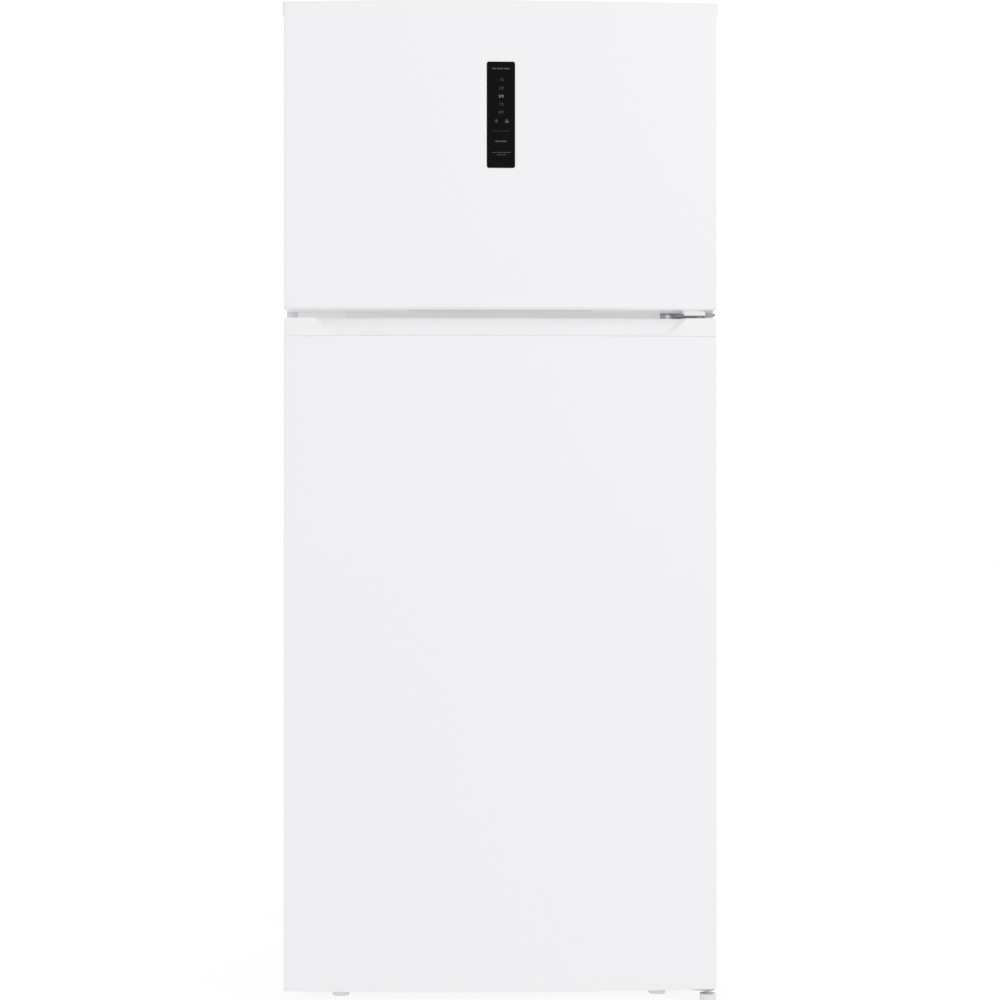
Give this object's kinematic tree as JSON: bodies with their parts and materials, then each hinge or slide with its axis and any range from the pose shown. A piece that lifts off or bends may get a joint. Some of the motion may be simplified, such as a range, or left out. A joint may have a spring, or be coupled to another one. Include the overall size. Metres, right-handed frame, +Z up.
{
  "type": "top freezer refrigerator",
  "caption": "Upright refrigerator with the freezer above, bowed white doors hinged on the right, scooped handle along the lower door, dark display strip.",
  "frame": {"origin": "on the floor under the middle of the whole body, doors shut", "axes": "+Z up, doors face -Y, +X to the right as seen from the front, which is the hinge side"},
  "size_m": [0.76, 0.73, 1.75],
  "materials": {
    "white_steel": "smooth gloss powder coat",
    "white_cap": "satin moulded",
    "liner_plastic": "vacuum-formed, soft gloss",
    "hinge_cover_plastic": "smooth moulded",
    "mullion_steel": "light grey paint",
    "gasket_rubber": "matt",
    "rigid_foam": "closed-cell foam",
    "clear_plastic": "clear moulded",
    "shelf_glass": "polished plate with white trims",
    "display_black": "polished, black printed behind",
    "dark_plastic": "fine texture",
    "bush_plastic": "smooth",
    "zinc_steel": "zinc plated",
    "galvanised_steel": "galvanised, faint spangle",
    "black_enamel": "semi-gloss",
    "mount_rubber": "matt",
    "coil_aluminium": "bare",
    "foot_plastic": "ribbed",
    "roller_plastic": "smooth"
  },
  "bodies": {
    "cabinet": {"air_duct_cover": "liner_plastic", "base_pan": "galvanised_steel", "bottom_hinge": "zinc_steel", "compressor": "black_enamel", "compressor_mounts": "mount_rubber", "condenser": "black_enamel", "crisper_cover": "shelf_glass", "drip_tray": "dark_plastic", "evaporator_coil": "coil_aluminium", "evaporator_cover": "liner_plastic", "fan_motor": "dark_plastic", "freezer_liner": "liner_plastic", "freezer_shelf": "shelf_glass", "fridge_liner": "liner_plastic", "fridge_shelf_1": "shelf_glass", "fridge_shelf_2": "shelf_glass", "hinge_screws": "zinc_steel", "ice_maker_frame": "liner_plastic", "insulation_foam": "rigid_foam", "machine_cover": "galvanised_steel", "middle_hinge": "zinc_steel", "middle_hinge_cover": "hinge_cover_plastic", "mullion_bar": "mullion_steel", "mullion_hinge_blank": "hinge_cover_plastic", "power_inlet": "dark_plastic", "rear_panel": "galvanised_steel", "side_panel_left": "white_steel", "side_panel_right": "white_steel", "top_hinge": "zinc_steel", "top_hinge_covers": "hinge_cover_plastic", "top_panel": "white_steel"},
    "upper_door": {"upper_door_bins": "clear_plastic", "upper_door_bottom_cap": "white_cap", "upper_door_bushes": "bush_plastic", "upper_door_foam": "rigid_foam", "upper_door_gasket": "gasket_rubber", "upper_door_liner": "liner_plastic", "upper_door_skin": "white_steel", "upper_door_top_cap": "white_cap", "display_glass": "display_black", "display_module": "dark_plastic"},
    "lower_door": {"lower_door_bins": "clear_plastic", "lower_door_bottom_cap": "white_cap", "lower_door_bushes": "bush_plastic", "lower_door_foam": "rigid_foam", "lower_door_gasket": "gasket_rubber", "lower_door_liner": "liner_plastic", "lower_door_skin": "white_steel", "lower_door_top_cap": "white_cap"},
    "dairy_flap": {"dairy_flap": "clear_plastic"},
    "evaporator_fan": {"evaporator_fan": "dark_plastic"},
    "ice_tray": {"ice_tray": "clear_plastic"},
    "ice_box": {"ice_box": "clear_plastic"},
    "crisper_left": {"crisper_left": "clear_plastic"},
    "crisper_right": {"crisper_right": "clear_plastic"},
    "foot_left": {"foot_left": "foot_plastic"},
    "foot_right": {"foot_right": "foot_plastic"},
    "foot_hinge": {"foot_hinge": "foot_plastic"},
    "roller_left": {"roller_left": "roller_plastic"},
    "roller_right": {"roller_right": "roller_plastic"}
  },
  "joints": [
    {"name": "upper_door_hinge", "type": "hinge", "parent": "cabinet", "child": "upper_door", "pos_m": [0.3655, -0.319, 1.48], "axis": [0, 0, 1], "range_deg": [0, 120]},
    {"name": "lower_door_hinge", "type": "hinge", "parent": "cabinet", "child": "lower_door", "pos_m": [0.3655, -0.319, 0.62], "axis": [0, 0, 1], "range_deg": [0, 120]},
    {"name": "dairy_flap_hinge", "type": "hinge", "parent": "lower_door", "child": "dairy_flap", "pos_m": [0, -0.2754, 1.074], "axis": [1, 0, 0], "range_deg": [0, 70]},
    {"name": "evaporator_fan_spin", "type": "hinge", "parent": "cabinet", "child": "evaporator_fan", "pos_m": [0, 0.222, 1.61], "axis": [0, 1, 0], "continuous": true},
    {"name": "ice_tray_twist", "type": "hinge", "parent": "cabinet", "child": "ice_tray", "pos_m": [-0.218, -0.014, 1.58927], "axis": [0, 1, 0], "range_deg": [0, 110], "stiffness_Nm_per_rad": 0.1},
    {"name": "ice_box_slide", "type": "slide", "parent": "cabinet", "child": "ice_box", "axis": [0, -1, 0], "range_m": [0, 0.045]},
    {"name": "crisper_left_slide", "type": "slide", "parent": "cabinet", "child": "crisper_left", "axis": [0, -1, 0], "range_m": [0, 0.078]},
    {"name": "crisper_right_slide", "type": "slide", "parent": "cabinet", "child": "crisper_right", "axis": [0, -1, 0], "range_m": [0, 0.078]},
    {"name": "foot_left_screw", "type": "slide", "parent": "cabinet", "child": "foot_left", "axis": [0, 0, -1], "range_m": [0, 0.012]},
    {"name": "foot_right_screw", "type": "slide", "parent": "cabinet", "child": "foot_right", "axis": [0, 0, -1], "range_m": [0, 0.012]},
    {"name": "foot_hinge_screw", "type": "slide", "parent": "cabinet", "child": "foot_hinge", "axis": [0, 0, -1], "range_m": [0, 0.012]},
    {"name": "roller_left_spin", "type": "hinge", "parent": "cabinet", "child": "roller_left", "pos_m": [-0.3, 0.31, 0.015], "axis": [1, 0, 0], "continuous": true},
    {"name": "roller_right_spin", "type": "hinge", "parent": "cabinet", "child": "roller_right", "pos_m": [0.3, 0.31, 0.015], "axis": [1, 0, 0], "continuous": true}
  ]
}
